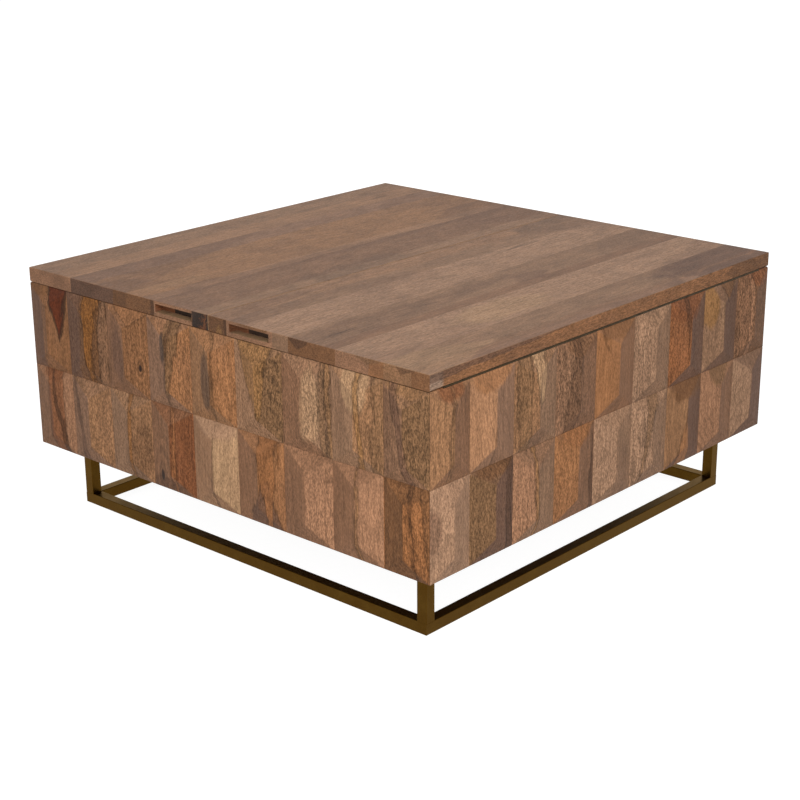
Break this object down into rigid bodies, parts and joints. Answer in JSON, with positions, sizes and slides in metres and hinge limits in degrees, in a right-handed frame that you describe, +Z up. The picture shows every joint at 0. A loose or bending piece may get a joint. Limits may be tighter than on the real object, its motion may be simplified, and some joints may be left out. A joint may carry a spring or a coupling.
{
  "type": "trunk coffee table",
  "caption": "Square storage-trunk coffee table clad in carved faceted wooden tiles, with board lids that open outwards by finger slots, on a square-tube metal base.",
  "frame": {"origin": "on the floor, under the middle of the table", "axes": "+Z up; -Y towards the front edge with the finger slots; +X to the right lid's hinge side"},
  "size_m": [0.92, 0.92, 0.4322],
  "materials": {
    "tile_wood": "carved mango wood, satin oil, strong tone change from tile to tile",
    "lid_wood": "edge-glued mango wood boards, satin grey-brown oil",
    "carcass_wood": "plain sanded wood inside the box",
    "base_metal": "antique brass paint, satin",
    "hinge_metal": "dark antique brass",
    "screw_metal": "zinc",
    "bumper_rubber": "soft matt"
  },
  "bodies": {
    "box": {"base_rail_front": "base_metal", "base_rail_right": "base_metal", "base_rail_back": "base_metal", "base_rail_left": "base_metal", "base_post_front_left": "base_metal", "base_post_front_right": "base_metal", "base_post_back_right": "base_metal", "base_post_back_left": "base_metal", "base_top_rail_front": "base_metal", "base_top_rail_right": "base_metal", "base_top_rail_back": "base_metal", "base_top_rail_left": "base_metal", "base_screws": "screw_metal", "bottom_panel": "carcass_wood", "cleat_front": "carcass_wood", "cleat_right": "carcass_wood", "cleat_back": "carcass_wood", "cleat_left": "carcass_wood", "wall_front": "carcass_wood", "wall_right": "carcass_wood", "wall_back": "carcass_wood", "wall_left": "carcass_wood", "tiles_front_lower": "tile_wood", "tiles_front_upper": "tile_wood", "tiles_right_lower": "tile_wood", "tiles_right_upper": "tile_wood", "tiles_back_lower": "tile_wood", "tiles_back_upper": "tile_wood", "tiles_left_lower": "tile_wood", "tiles_left_upper": "tile_wood", "lid_bumpers": "bumper_rubber", "hinge_box_leaf_left": "hinge_metal", "hinge_pin_left": "hinge_metal", "hinge_box_screws_left": "hinge_metal", "hinge_box_leaf_right": "hinge_metal", "hinge_pin_right": "hinge_metal", "hinge_box_screws_right": "hinge_metal"},
    "left_lid": {"left_lid_board_1": "lid_wood", "left_lid_board_2": "lid_wood", "left_lid_board_3": "lid_wood", "left_lid_board_4": "lid_wood", "left_lid_batten_front": "carcass_wood", "left_lid_batten_back": "carcass_wood", "batten_screws_left": "screw_metal", "hinge_lid_leaf_left": "hinge_metal", "hinge_lid_screws_left": "hinge_metal"},
    "right_lid": {"right_lid_board_1": "lid_wood", "right_lid_board_2": "lid_wood", "right_lid_board_3": "lid_wood", "right_lid_board_4": "lid_wood", "right_lid_board_5": "lid_wood", "right_lid_batten_front": "carcass_wood", "right_lid_batten_back": "carcass_wood", "batten_screws_right": "screw_metal", "hinge_lid_leaf_right": "hinge_metal", "hinge_lid_screws_right": "hinge_metal"}
  },
  "joints": [
    {"name": "left_lid_hinge", "type": "hinge", "parent": "box", "child": "left_lid", "pos_m": [-0.4478, 0, 0.4066], "axis": [0, -1, 0], "range_deg": [0, 95]},
    {"name": "right_lid_hinge", "type": "hinge", "parent": "box", "child": "right_lid", "pos_m": [0.4478, 0, 0.4066], "axis": [0, 1, 0], "range_deg": [0, 95]}
  ]
}
